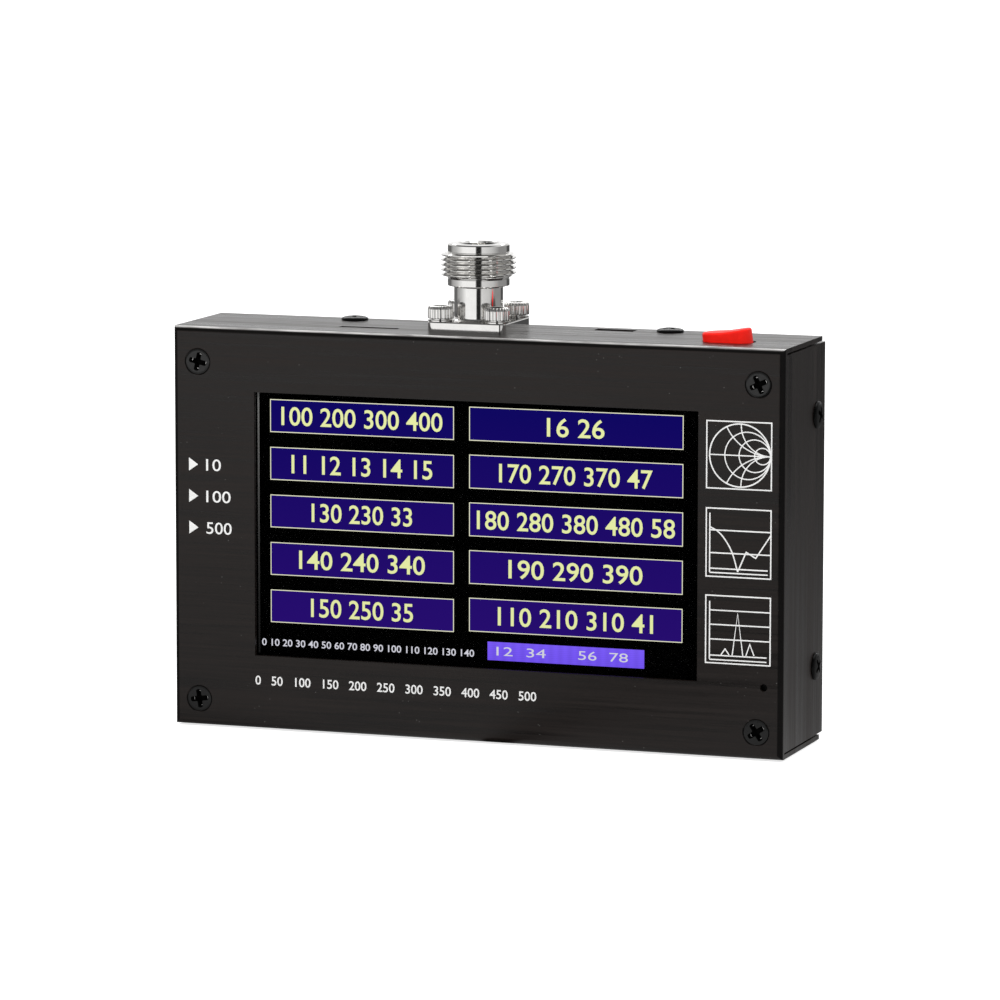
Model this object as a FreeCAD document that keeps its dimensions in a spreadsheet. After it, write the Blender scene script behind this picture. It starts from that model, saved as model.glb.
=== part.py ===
import FreeCAD, Part
import math
import os
import re
import Sketcher

# Hand-held antenna analyzer: a folded sheet-aluminium box with a colour touch display, a panel
# coaxial jack and a rocker switch on its top. Millimetres, +Z up, the display faces -Y, the
# origin lies under the middle of the box on the surface it stands on.

doc = FreeCAD.newDocument("analyzer")
sizes = doc.addObject("Spreadsheet::Sheet", "Sizes")

VALUES = {
    # box
    "box_w": 136.0,
    "box_h": 86.0,
    "box_d": 30.0,
    "wall": 1.0,
    "bend": 1.25,
    "seam": 0.35,
    "trim": 2.2,
    "relief": 0.6,
    "cover_gap": 0.2,
    "tab_w": 14.0,
    "tab_len": 10.5,
    "lip": 4.0,
    # screw places in the box
    "face_x": 62.35,
    "face_low": 5.7,
    "face_high": 78.5,
    "cover_x": 35.6,
    "cover_z": 26.75,
    "cover_in": 5.8,
    "csk_d": 5.9,
    "shank": 3.0,
    "hole_gap": 0.2,
    "head_d": 6.0,
    "head_rise": 0.9,
    "nut_w": 5.5,
    "nut_t": 1.8,
    # window and display stack
    "win_w": 98.9,
    "win_h": 56.7,
    "win_z": 44.1,
    "screen_w": 105.5,
    "screen_h": 67.2,
    "gasket": 0.8,
    "gasket_lip": 0.8,
    "touch_t": 1.4,
    "tray": 2.6,
    "tray_wall": 0.8,
    "cell_gap": 0.15,
    # small openings in the box
    "led_x": 63.95,
    "led_z": 15.2,
    "led_d": 1.6,
    "card_x": -27.2,
    "card_w": 13.2,
    "card_t": 1.8,
    "plug_x": 23.6,
    "plug_w": 8.8,
    "plug_t": 3.4,
    # rocker
    "rock_x": 52.6,
    "rock_y": -3.9,
    "cap_w": 10.4,
    "cap_t": 6.2,
    "cap_rise": 1.8,
    "cap_drop": 1.5,
    "cap_tilt": 7.0,
    "cap_round": 0.5,
    "cap_end": 2.7,
    "pivot_z": 2.0,
    "pivot_d": 1.3,
    "pivot_gap": 0.05,
    "cap_gap": 0.45,
    "switch_w": 13.6,
    "switch_t": 9.6,
    "switch_h": 11.0,
    # jack
    "jack_x": -4.3,
    "jack_y": 0.5,
    "flange": 17.5,
    "flange_t": 2.2,
    "flange_r": 1.5,
    "bolt_gap": 12.7,
    "neck_d": 10.4,
    "collar_d": 13.15,
    "thread_d": 15.875,
    "collar_z": 9.4,
    "collar_t": 1.5,
    "thread_z": 11.4,
    "thread_t": 5.0,
    "rim_z": 18.4,
    "rim_edge": 0.5,
    "bore_d": 8.2,
    "bore_depth": 9.0,
    "spigot_d": 10.4,
    "spigot_t": 1.4,
    "socket_d": 3.04,
    "socket_low": 1.6,
    "socket_hole": 1.65,
    "cup_len": 6.0,
    "cup_d": 2.4,
    "link_d": 0.9,
    "cap_screw_d": 5.4,
    "cap_screw_t": 2.8,
    "washer_t": 0.5,
    "hexnut_w": 5.5,
    "hexnut_t": 2.4,
    # boards
    "board_off": 7.9,
    "board_t": 1.6,
    "board_side": 3.0,
    "board_edge": 3.2,
    "post_d": 5.0,
    "lift": 10.4,
    "rf_w": 88.0,
    "rf_h": 34.0,
    "rf_x": -8.0,
    "rf_top": 6.0,
    # battery
    "pack_w": 70.0,
    "pack_h": 34.0,
    "pack_t": 8.0,
    "pack_z": 8.0,
    "pack_x": -5.0,
    "tape": 0.5,
}

for row, (name, value) in enumerate(VALUES.items(), start=1):
    sizes.set("A%d" % row, name)
    sizes.set("B%d" % row, repr(value))
    sizes.setAlias("B%d" % row, name)
doc.recompute()

WORD = re.compile(r"[a-z][a-z_]*")


def cell(text):
    """Write a formula in the sheet's names as an expression of the document."""
    return WORD.sub(lambda m: "Sizes." + m.group(0) if m.group(0) in VALUES else m.group(0), text)


def bind(obj, prop, text):
    obj.setExpression(prop, cell(text))


def place(obj, x="0", y="0", z="0", turn=None):
    if turn:
        obj.Placement = FreeCAD.Placement(FreeCAD.Vector(), FreeCAD.Rotation(*turn))
    bind(obj, ".Placement.Base.x", x)
    bind(obj, ".Placement.Base.y", y)
    bind(obj, ".Placement.Base.z", z)


ALONG_X = (FreeCAD.Vector(0, 1, 0), 90)
ALONG_Y = (FreeCAD.Vector(1, 0, 0), -90)
TOWARD_FRONT = (FreeCAD.Vector(1, 0, 0), 90)
ALONG_NEG_X = (FreeCAD.Vector(0, 1, 0), -90)
DOWN = (FreeCAD.Vector(1, 0, 0), 180)


def box(name, x, y, z, dx, dy, dz):
    """A block from its least corner and its three lengths."""
    obj = doc.addObject("Part::Box", name)
    bind(obj, "Length", dx)
    bind(obj, "Width", dy)
    bind(obj, "Height", dz)
    place(obj, x, y, z)
    return obj


def rod(name, x, y, z, d, length, turn=None):
    """A cylinder from the centre of one end, along +Z or along its turn."""
    obj = doc.addObject("Part::Cylinder", name)
    bind(obj, "Radius", "(" + d + ") / 2")
    bind(obj, "Height", length)
    place(obj, x, y, z, turn)
    return obj


def cone(name, x, y, z, d1, d2, length, turn=None):
    obj = doc.addObject("Part::Cone", name)
    bind(obj, "Radius1", "(" + d1 + ") / 2")
    bind(obj, "Radius2", "(" + d2 + ") / 2")
    bind(obj, "Height", length)
    place(obj, x, y, z, turn)
    return obj


def hexagon(name, x, y, z, across, length, turn=None):
    obj = doc.addObject("Part::Prism", name)
    obj.Polygon = 6
    bind(obj, "Circumradius", "(" + across + ") / 1.7320508")
    bind(obj, "Height", length)
    place(obj, x, y, z, turn)
    return obj


def cut(name, base, tools):
    tool = tools[0]
    if len(tools) > 1:
        tool = doc.addObject("Part::MultiFuse", name + "_tools")
        tool.Shapes = tools
    obj = doc.addObject("Part::Cut", name)
    obj.Base = base
    obj.Tool = tool
    return obj


def fuse(name, pieces):
    obj = doc.addObject("Part::MultiFuse", name)
    obj.Shapes = pieces
    return obj


def group(name, pieces):
    obj = doc.addObject("Part::Compound", name)
    obj.Links = pieces
    return obj


# Bodies made of sketches and features
def plane_of(body, role):
    return next(f for f in body.Origin.OriginFeatures if f.Role == role)


def sketch_on(body, name, role, offset):
    """A sketch parallel to one of the body's planes, offset along that plane's normal."""
    sk = body.newObject("Sketcher::SketchObject", name)
    sk.AttachmentSupport = [(plane_of(body, role), "")]
    sk.MapMode = "FlatFace"
    bind(sk, ".AttachmentOffset.Base.z", offset)
    return sk


def hold(sk, kind, args, text):
    index = sk.addConstraint(Sketcher.Constraint(kind, *args, 1.0))
    bind(sk, "Constraints[%d]" % index, text)


def rect(sk, x, y, dx, dy):
    """A rectangle from its least corner; its sides and its corner are bound."""
    v = FreeCAD.Vector
    corners = [v(0, 0, 0), v(1, 0, 0), v(1, 1, 0), v(0, 1, 0)]
    first = sk.GeometryCount
    for i in range(4):
        sk.addGeometry(Part.LineSegment(corners[i], corners[(i + 1) % 4]), False)
    for i in range(4):
        sk.addConstraint(Sketcher.Constraint("Coincident", first + i, 2, first + (i + 1) % 4, 1))
    for i in (0, 2):
        sk.addConstraint(Sketcher.Constraint("Horizontal", first + i))
        sk.addConstraint(Sketcher.Constraint("Vertical", first + i + 1))
    hold(sk, "DistanceX", (first, 1, first, 2), dx)
    hold(sk, "DistanceY", (first + 1, 1, first + 1, 2), dy)
    hold(sk, "DistanceX", (-1, 1, first, 1), x)
    hold(sk, "DistanceY", (-1, 1, first, 1), y)


def disc(sk, x, y, d):
    circle = Part.Circle(FreeCAD.Vector(0, 0, 0), FreeCAD.Vector(0, 0, 1), 1.0)
    index = sk.addGeometry(circle, False)
    hold(sk, "Diameter", (index,), d)
    hold(sk, "DistanceX", (-1, 1, index, 3), x)
    hold(sk, "DistanceY", (-1, 1, index, 3), y)


def outline(sk, points):
    """A closed run of straight lines through bound points."""
    count = len(points)
    first = sk.GeometryCount
    for i in range(count):
        a = 2 * math.pi * i / count
        b = 2 * math.pi * (i + 1) / count
        start = FreeCAD.Vector(10 + math.cos(a), 10 + math.sin(a), 0)
        end = FreeCAD.Vector(10 + math.cos(b), 10 + math.sin(b), 0)
        sk.addGeometry(Part.LineSegment(start, end), False)
    for i in range(count):
        sk.addConstraint(Sketcher.Constraint("Coincident", first + i, 2, first + (i + 1) % count, 1))
    for i, (x, y) in enumerate(points):
        hold(sk, "DistanceX", (-1, 1, first + i, 1), x)
        hold(sk, "DistanceY", (-1, 1, first + i, 1), y)


def pad(body, sk, name, length, reverse=False):
    feature = body.newObject("PartDesign::Pad", name)
    feature.Profile = sk
    feature.Reversed = reverse
    bind(feature, "Length", length)
    doc.recompute()
    return feature


def pocket(body, sk, name, length, reverse=False):
    """A pocket that has to take some material away."""
    before = body.Shape.Volume
    feature = body.newObject("PartDesign::Pocket", name)
    feature.Profile = sk
    feature.Reversed = reverse
    bind(feature, "Length", length)
    doc.recompute()
    if body.Shape.Volume >= before - 1e-6:
        raise RuntimeError(name + " cuts nothing")
    return feature


def edges_where(shape, test):
    return ["Edge%d" % (i + 1) for i, e in enumerate(shape.Edges) if test(e)]


def round_edges(body, base, name, test, radius):
    feature = body.newObject("PartDesign::Fillet", name)
    feature.Base = (base, edges_where(base.Shape, test))
    bind(feature, "Radius", radius)
    doc.recompute()
    return feature


def bevel_edges(body, base, name, test, size):
    feature = body.newObject("PartDesign::Chamfer", name)
    feature.Base = (base, edges_where(base.Shape, test))
    bind(feature, "Size", size)
    doc.recompute()
    return feature


def flat_at(axis, level):
    """True for an edge that lies in the plane where this coordinate has this value."""
    def test(e):
        b = e.BoundBox
        low = (b.XMin, b.YMin, b.ZMin)[axis]
        high = (b.XMax, b.YMax, b.ZMax)[axis]
        return abs(low - level) < 1e-4 and abs(high - level) < 1e-4
    return test


def ring_at(axis, level, d):
    """True for a full circle of this diameter in that plane."""
    flat = flat_at(axis, level)

    def test(e):
        return flat(e) and e.Closed and hasattr(e.Curve, "Radius") and abs(e.Curve.Radius - d / 2) < 1e-4
    return test


v = VALUES
SIDES = (-1, 1)
csk_depth = 0.9 * v["wall"]
csk_small = v["csk_d"] - 2 * csk_depth

# Front shell: one sheet folded to a face with four flanges. The top and bottom flanges run over
# the ends of the side flanges with an open seam, and the side flanges reach further back.
shell = doc.addObject("PartDesign::Body", "front_shell")
sk = sketch_on(shell, "shell_face", "XZ_Plane", "box_d / 2")
rect(sk, "-box_w / 2", "0", "box_w", "box_h")
block = pad(shell, sk, "shell_block", "box_d", reverse=True)
bends = round_edges(shell, block, "shell_bends", flat_at(1, -v["box_d"] / 2), "bend")
sk = sketch_on(shell, "shell_inside", "XZ_Plane", "-box_d / 2")
rect(sk, "-box_w / 2 + wall", "wall", "box_w - 2 * wall", "box_h - 2 * wall")
pocket(shell, sk, "shell_hollow", "box_d - wall", reverse=True)
sk = sketch_on(shell, "shell_trim_lines", "XZ_Plane", "-box_d / 2")
rect(sk, "-box_w / 2 - 1", "box_h - wall - seam", "box_w + 2", "wall + seam + 1")
rect(sk, "-box_w / 2 - 1", "-1", "box_w + 2", "wall + seam + 1")
pocket(shell, sk, "shell_trim", "trim", reverse=True)
sk = sketch_on(shell, "shell_seam_lines", "XZ_Plane", "-box_d / 2")
rect(sk, "box_w / 2 - wall", "box_h - wall - seam", "wall + 1", "seam")
rect(sk, "-box_w / 2 - 1", "box_h - wall - seam", "wall + 1", "seam")
rect(sk, "box_w / 2 - wall", "wall", "wall + 1", "seam")
rect(sk, "-box_w / 2 - 1", "wall", "wall + 1", "seam")
pocket(shell, sk, "shell_seams", "box_d - bend - relief", reverse=True)
sk = sketch_on(shell, "shell_window", "XZ_Plane", "box_d / 2")
rect(sk, "-win_w / 2", "win_z - win_h / 2", "win_w", "win_h")
disc(sk, "led_x", "led_z", "led_d")
for side in SIDES:
    for height in ("face_low", "face_high"):
        disc(sk, "%d * face_x" % side, height, "csk_d - 1.8 * wall")
window = pocket(shell, sk, "shell_openings", "wall + 0.2")
sink = bevel_edges(shell, window, "face_sinks", ring_at(1, -v["box_d"] / 2, csk_small), "0.9 * wall")
sk = sketch_on(shell, "shell_top", "XY_Plane", "box_h")
rect(sk, "card_x - card_w / 2", "-box_d / 2 + board_off + board_t + 1.1 - card_t / 2",
     "card_w", "card_t")
rect(sk, "plug_x - plug_w / 2", "-box_d / 2 + board_off + 2 * board_t + lift + 1.95 - plug_t / 2",
     "plug_w", "plug_t")
rect(sk, "rock_x - cap_w / 2 - cap_gap", "rock_y - cap_t / 2 - cap_gap / 2",
     "cap_w + 2 * cap_gap", "cap_t + cap_gap")
disc(sk, "jack_x", "jack_y", "spigot_d + 2 * hole_gap")
for side in SIDES:
    disc(sk, "%d * cover_x" % side, "box_d / 2 - cover_in", "shank + 2 * hole_gap")
    for end in SIDES:
        disc(sk, "jack_x + %d * bolt_gap / 2" % side, "jack_y + %d * bolt_gap / 2" % end,
             "shank + 2 * hole_gap")
opened = pocket(shell, sk, "shell_top_openings", "wall + 0.2")


def rocker_corner(e):
    b = e.BoundBox
    return (b.XLength < 1e-4 and b.YLength < 1e-4 and b.ZMin > v["box_h"] - 1.5 * v["wall"]
            and abs(abs(b.Center.x - v["rock_x"]) - v["cap_w"] / 2 - v["cap_gap"]) < 1e-3
            and abs(abs(b.Center.y - v["rock_y"]) - v["cap_t"] / 2 - v["cap_gap"] / 2) < 1e-3)


round_edges(shell, opened, "shell_rocker_corners", rocker_corner, "cap_end + cap_gap / 2")
sk = sketch_on(shell, "shell_side", "YZ_Plane", "box_w / 2")
for side in SIDES:
    disc(sk, "box_d / 2 - cover_in", "box_h / 2 + %d * cover_z" % side, "shank + 2 * hole_gap")
pocket(shell, sk, "shell_side_holes", "box_w")

# Rear cover: a plate between the side flanges with a short lip bent forward on each side, and
# longer tabs at its top and sides for the screws
cover = doc.addObject("PartDesign::Body", "rear_cover")
sk = sketch_on(cover, "cover_plate_lines", "XZ_Plane", "-box_d / 2")
rect(sk, "-box_w / 2 + wall + cover_gap", "wall + cover_gap",
     "box_w - 2 * wall - 2 * cover_gap", "box_h - 2 * wall - 2 * cover_gap")
plate = pad(cover, sk, "cover_plate", "wall")
sk = sketch_on(cover, "cover_tab_lines", "XZ_Plane", "-box_d / 2 + 0.5 * wall")
for side in SIDES:
    rect(sk, "%d * cover_x - tab_w / 2" % side, "box_h - 2 * wall - cover_gap", "tab_w", "wall")
    rect(sk, "box_w / 2 - 2 * wall - cover_gap", "box_h / 2 + %d * cover_z - tab_w / 2" % side,
         "wall", "tab_w")
    rect(sk, "-box_w / 2 + wall + cover_gap", "box_h / 2 + %d * cover_z - tab_w / 2" % side,
         "wall", "tab_w")
pad(cover, sk, "cover_tabs", "tab_len - 0.5 * wall")
sk = sketch_on(cover, "cover_lip_lines", "XZ_Plane", "-box_d / 2 + 0.5 * wall")
long_x = "box_w - 8 * wall"
long_z = "box_h - 8 * wall"
rect(sk, "-box_w / 2 + 4 * wall", "box_h - 2 * wall - cover_gap", long_x, "wall")
rect(sk, "-box_w / 2 + 4 * wall", "wall + cover_gap", long_x, "wall")
rect(sk, "box_w / 2 - 2 * wall - cover_gap", "4 * wall", "wall", long_z)
rect(sk, "-box_w / 2 + wall + cover_gap", "4 * wall", "wall", long_z)
tabs = pad(cover, sk, "cover_lips", "lip - 0.5 * wall")
round_edges(cover, tabs, "cover_bends", flat_at(1, v["box_d"] / 2), "0.8 * wall")
sk = sketch_on(cover, "cover_top_lines", "XY_Plane", "box_h")
for side in SIDES:
    disc(sk, "%d * cover_x" % side, "box_d / 2 - cover_in", "shank + 2 * hole_gap")
pocket(cover, sk, "cover_top_holes", "box_h / 2")
sk = sketch_on(cover, "cover_side_lines", "YZ_Plane", "box_w / 2")
for side in SIDES:
    disc(sk, "box_d / 2 - cover_in", "box_h / 2 + %d * cover_z" % side, "shank + 2 * hole_gap")
pocket(cover, sk, "cover_side_holes", "box_w")

# Countersunk screws, flush with the face


def flat_screw(name, x, height, length):
    """A countersunk screw from the face inward: its cone fills the sheet, just below its surface."""
    y = "-box_d / 2 + 0.05"
    head = cone(name + "_head", x, y, height, "csk_d - 0.2", "csk_d - 0.1 - 2 * wall",
                "wall - 0.05", ALONG_Y)
    shank = rod(name + "_shank", x, y, height, "shank", length, ALONG_Y)
    return fuse(name, [head, shank])


pieces = []
for i, side in enumerate(SIDES):
    for j, height in enumerate(("face_low", "face_high")):
        pieces.append(flat_screw("face_screw_%d%d" % (i, j), "%d * face_x" % side, height,
                                 "board_off - 1.5"))
group("face_screws", pieces)


def round_screw(name, x, y, z, length, turn):
    """Low head outside, shank inward, from the point where the axis meets the surface."""
    head = rod(name + "_head", x, y, z, "head_d", "head_rise", turn[0])
    shank = rod(name + "_shank", x, y, z, "shank", length, turn[1])
    return fuse(name, [head, shank])


pieces = []
for i, side in enumerate(SIDES):
    pieces.append(round_screw("cover_screw_top_%d" % i, "%d * cover_x" % side,
                              "box_d / 2 - cover_in", "box_h", "5", (None, DOWN)))
    pieces.append(round_screw("cover_screw_right_%d" % i, "box_w / 2", "box_d / 2 - cover_in",
                              "box_h / 2 + %d * cover_z" % side, "5", (ALONG_X, ALONG_NEG_X)))
    pieces.append(round_screw("cover_screw_left_%d" % i, "-box_w / 2", "box_d / 2 - cover_in",
                              "box_h / 2 + %d * cover_z" % side, "5", (ALONG_NEG_X, ALONG_X)))
group("cover_screws", pieces)


def cover_nut(name, x, y, z, turn):
    """A nut fixed on the inner face of a tab, from the point where its axis meets that face."""
    nut = hexagon(name + "_hex", x, y, z, "nut_w", "nut_t", turn)
    bore = rod(name + "_bore", x, y, z, "shank + 0.06", "nut_t + 1", turn)
    return cut(name, nut, [bore])


pieces = []
deep = "box_d / 2 - cover_in"
side_in = "box_w / 2 - 2 * wall - cover_gap"
for i, side in enumerate(SIDES):
    z = "box_h / 2 + %d * cover_z" % side
    pieces.append(cover_nut("nut_top_%d" % i, "%d * cover_x" % side, deep,
                            "box_h - 2 * wall - cover_gap", DOWN))
    pieces.append(cover_nut("nut_right_%d" % i, side_in, deep, z, ALONG_NEG_X))
    pieces.append(cover_nut("nut_left_%d" % i, "-(" + side_in + ")", deep, z, ALONG_X))
group("cover_nuts", pieces)

# Coaxial jack: a square flange and a turned barrel on the top, with its spigot in the box
jack = doc.addObject("PartDesign::Body", "jack_body")
place(jack, "jack_x", "jack_y", "box_h")
sk = sketch_on(jack, "jack_flange_lines", "XY_Plane", "0")
rect(sk, "-flange / 2", "-flange / 2", "flange", "flange")
slab = pad(jack, sk, "jack_flange", "flange_t")


def upright(e):
    b = e.BoundBox
    return b.ZLength > 1e-3 and b.XLength < 1e-4 and b.YLength < 1e-4


round_edges(jack, slab, "jack_corners", upright, "flange_r")
sk = sketch_on(jack, "jack_profile", "XZ_Plane", "0")
outline(sk, [
    ("0", "flange_t / 2"),
    ("neck_d / 2", "flange_t / 2"),
    ("neck_d / 2", "collar_z"),
    ("collar_d / 2", "collar_z"),
    ("collar_d / 2", "thread_z"),
    ("thread_d / 2", "thread_z"),
    ("thread_d / 2", "thread_z + thread_t"),
    ("collar_d / 2", "thread_z + thread_t"),
    ("collar_d / 2", "rim_z - rim_edge"),
    ("collar_d / 2 - rim_edge", "rim_z"),
    ("0", "rim_z"),
])
turned = jack.newObject("PartDesign::Revolution", "jack_barrel")
turned.Profile = sk
turned.ReferenceAxis = (sk, ["V_Axis"])
turned.Angle = 360
doc.recompute()
sk = sketch_on(jack, "jack_spigot_lines", "XY_Plane", "0")
disc(sk, "0", "0", "spigot_d")
pad(jack, sk, "jack_spigot", "spigot_t", reverse=True)
sk = sketch_on(jack, "jack_bore_lines", "XY_Plane", "rim_z")
disc(sk, "0", "0", "bore_d")
pocket(jack, sk, "jack_bore", "rim_z + spigot_t + 1")
sk = sketch_on(jack, "jack_bolt_lines", "XY_Plane", "flange_t")
for side in SIDES:
    for end in SIDES:
        disc(sk, "%d * bolt_gap / 2" % side, "%d * bolt_gap / 2" % end, "shank + 2 * hole_gap")
pocket(jack, sk, "jack_bolt_holes", "flange_t + 0.2")

plug_base = "box_h + rim_z - bore_depth"
body = rod("insulator_body", "jack_x", "jack_y", "box_h - spigot_t - 2.5",
           "bore_d - 0.04", "rim_z - bore_depth + spigot_t + 2.5")
hole = rod("insulator_hole", "jack_x", "jack_y", "box_h - 20", "socket_d + 0.04", "60")
cut("jack_insulator", body, [hole])
body = rod("contact_body", "jack_x", "jack_y", "box_h - spigot_t - 2.5",
           "socket_d", "rim_z - socket_low + spigot_t + 2.5")
hole = rod("contact_hole", "jack_x", "jack_y", "box_h + rim_z - socket_low - 6", "socket_hole", "10")
cup = rod("contact_cup", "jack_x", "jack_y", "box_h - spigot_t - 2.5 - cup_len", "cup_d",
          "cup_len + 1")
cut("jack_contact", fuse("contact_blank", [body, cup]), [hole])

pieces = []
nuts = []
for i, side in enumerate(SIDES):
    for j, end in enumerate(SIDES):
        x = "jack_x + %d * bolt_gap / 2" % side
        y = "jack_y + %d * bolt_gap / 2" % end
        tag = "%d%d" % (i, j)
        head = rod("cap_head_" + tag, x, y, "box_h + flange_t", "cap_screw_d",
                   "washer_t + cap_screw_t")
        shaft = rod("cap_shaft_" + tag, x, y, "box_h + flange_t", "shank",
                    "flange_t + wall + hexnut_t + 1", DOWN)
        pieces.append(fuse("cap_screw_" + tag, [head, shaft]))
        nut = hexagon("nut_hex_" + tag, x, y, "box_h - wall - hexnut_t", "hexnut_w", "hexnut_t")
        eye = rod("nut_eye_" + tag, x, y, "box_h - wall - hexnut_t - 1", "shank + 0.06", "6")
        nuts.append(cut("nut_" + tag, nut, [eye]))
group("jack_screws", pieces)
group("jack_nuts", nuts)

# Rocker: a shallow V-shaped cap on two pins, drawn in its rest place with the right end up.
# Its local origin is the pivot, and the body stands in a notch of the main board.
cap = doc.addObject("PartDesign::Body", "rocker_cap")
sk = sketch_on(cap, "cap_profile", "XZ_Plane", "-cap_t / 2")
outline(sk, [
    ("-cap_w / 2", "-cap_drop"),
    ("cap_w / 2", "-cap_drop"),
    ("cap_w / 2", "(cap_rise + pivot_z) / cos(cap_tilt * 1 deg) + cap_w / 2 * tan(cap_tilt * 1 deg)"),
    ("0", "(cap_rise + pivot_z) / cos(cap_tilt * 1 deg)"),
    ("-cap_w / 2", "(cap_rise + pivot_z) / cos(cap_tilt * 1 deg) + cap_w / 2 * tan(cap_tilt * 1 deg)"),
])
wedge = pad(cap, sk, "cap_block", "cap_t")


def cap_edge(e):
    b = e.BoundBox
    upper = b.ZMin > v["pivot_z"]
    return upper and not (b.XLength < 1e-4 and abs(b.Center.x) < 1e-3)


def cap_corner(e):
    b = e.BoundBox
    return b.ZLength > 2.0 and b.XLength < 1e-4 and b.YLength < 1e-4


wedge = round_edges(cap, wedge, "cap_ends", cap_corner, "cap_end")
round_edges(cap, wedge, "cap_rounds", cap_edge, "cap_round")
sk = sketch_on(cap, "cap_pin_lines", "XZ_Plane", "-cap_t / 2 - 1.2")
disc(sk, "0", "0", "pivot_d")
pad(cap, sk, "cap_pins", "cap_t + 2.4")
cap.Placement = FreeCAD.Placement(FreeCAD.Vector(), FreeCAD.Rotation(FreeCAD.Vector(0, 1, 0), -v["cap_tilt"]))
bind(cap, ".Placement.Base.x", "rock_x")
bind(cap, ".Placement.Base.y", "rock_y")
bind(cap, ".Placement.Base.z", "box_h - pivot_z")

low = "box_h - wall - 0.1 - switch_h"
body = box("switch_block", "rock_x - switch_w / 2", "rock_y - switch_t / 2", low,
           "switch_w", "switch_t", "switch_h")
room = box("switch_room", "rock_x - cap_w / 2 - cap_gap - 0.2", "rock_y - cap_t / 2 - cap_gap / 2",
           "box_h - pivot_z - cap_drop - 1.6", "cap_w + 2 * cap_gap + 0.4", "cap_t + cap_gap", "20")
hole = rod("switch_pivot", "rock_x", "rock_y - cap_t / 2 - 1.25", "box_h - pivot_z",
           "pivot_d + 2 * pivot_gap", "cap_t + 2.5", ALONG_Y)
cut("switch_body", body, [room, hole])
pieces = []
for i in (-1, 0, 1):
    pieces.append(box("switch_pin_%d" % (i + 1), "rock_x - 0.4 + %d * 4.7" % i, "rock_y - 0.3",
                      "box_h - wall - 0.1 - switch_h - 4", "0.8", "0.6", "4"))
group("switch_pins", pieces)

# Display stack behind the window: gasket, touch panel, liquid-crystal cell in a steel tray
face = "-box_d / 2 + wall"
edge_x = "-screen_w / 2"
edge_z = "win_z - screen_h / 2"
blank = box("gasket_blank", edge_x, face, edge_z, "screen_w", "gasket", "screen_h")
open_ = box("gasket_open", "-win_w / 2 - gasket_lip", face + " - 1", "win_z - win_h / 2 - gasket_lip",
            "win_w + 2 * gasket_lip", "gasket + 2", "win_h + 2 * gasket_lip")
cut("screen_gasket", blank, [open_])
box("touch_panel", edge_x, face + " + gasket", edge_z, "screen_w", "touch_t", "screen_h")
blank = box("tray_blank", edge_x, face + " + gasket + touch_t", edge_z, "screen_w", "tray", "screen_h")
well = box("tray_well", edge_x + " + tray_wall", face + " + gasket + touch_t - 1", edge_z + " + tray_wall",
           "screen_w - 2 * tray_wall", "tray - tray_wall / 2 + 1", "screen_h - 2 * tray_wall")
cut("screen_tray", blank, [well])
box("screen_cell", edge_x + " + tray_wall + cell_gap", face + " + gasket + touch_t",
    edge_z + " + tray_wall + cell_gap", "screen_w - 2 * tray_wall - 2 * cell_gap",
    "tray - tray_wall / 2", "screen_h - 2 * tray_wall - 2 * cell_gap")
back = face + " + gasket + touch_t + tray"
front = "-box_d / 2 + board_off"
inner = box("flex_inner", "-12", back, edge_z + " + 4", "24", "0.3", "12")
fold = box("flex_fold", "-12", back, edge_z + " + 3.7", "24", front + " - 0.9 - (" + back + ")", "0.3")
outer = box("flex_outer", "-12", front + " - 1.2", edge_z + " + 3.7", "24", "0.3", "10")
fuse("screen_flex", [inner, fold, outer])
box("flex_socket", "-13", front + " - 0.9", edge_z + " + 8", "26", "0.9", "5")

# Main board on four posts behind the face
blank = box("board_blank", "-box_w / 2 + board_side", front, "board_edge",
            "box_w - 2 * board_side", "board_t", "box_h - 2 * board_edge")
notch = box("board_switch_notch", "rock_x - switch_w / 2 - 0.4", front + " - 1",
            "box_h - wall - 0.1 - switch_h - 0.4", "switch_w + 0.8", "board_t + 2", "40")
bay = box("board_jack_notch", "jack_x - bolt_gap / 2 - hexnut_w / 2 - 1.15", front + " - 1",
          "box_h - wall - hexnut_t - 4", "bolt_gap + hexnut_w + 2.3", "board_t + 2", "40")
holes = []
for i, side in enumerate(SIDES):
    for j, height in enumerate(("face_low", "face_high")):
        holes.append(rod("board_hole_%d%d" % (i, j), "%d * face_x" % side, front + " - 1", height,
                         "shank + 2 * hole_gap", "board_t + 2", ALONG_Y))
cut("main_board", blank, [notch, bay] + holes)
posts = []
screws = []
for i, side in enumerate(SIDES):
    for j, height in enumerate(("face_low", "face_high")):
        x = "%d * face_x" % side
        tag = "%d%d" % (i, j)
        post = hexagon("post_hex_" + tag, x, face, height, "post_d", "board_off - wall", ALONG_Y)
        bore = rod("post_bore_" + tag, x, face + " - 1", height, "shank + 0.06", "board_off + 2",
                   ALONG_Y)
        posts.append(cut("post_" + tag, post, [bore]))
        head = hexagon("post_head_" + tag, x, front + " + board_t", height, "post_d", "2", ALONG_Y)
        shaft = rod("post_shaft_" + tag, x, front + " + board_t + 0.5", height, "shank - 0.4",
                    "board_t + 1.9", TOWARD_FRONT)
        screws.append(fuse("post_screw_" + tag, [head, shaft]))
group("board_posts", posts)
group("board_screws", screws)

rear = front + " + board_t"
box("processor", "8", rear, "56", "14", "1.4", "14")
card = box("card_block", "card_x - 7.3", rear, "box_h - wall - 0.3 - 14.5", "14.6", "2.1", "14.5")
slot = box("card_slot", "card_x - 5.7", rear + " + 0.7", "box_h - wall - 0.3 - 13", "11.4", "0.9", "20")
cut("card_socket", card, [slot])
rod("charge_led", "led_x", front, "led_z", "led_d + 0.4", "board_off - wall - 0.3", TOWARD_FRONT)

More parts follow.
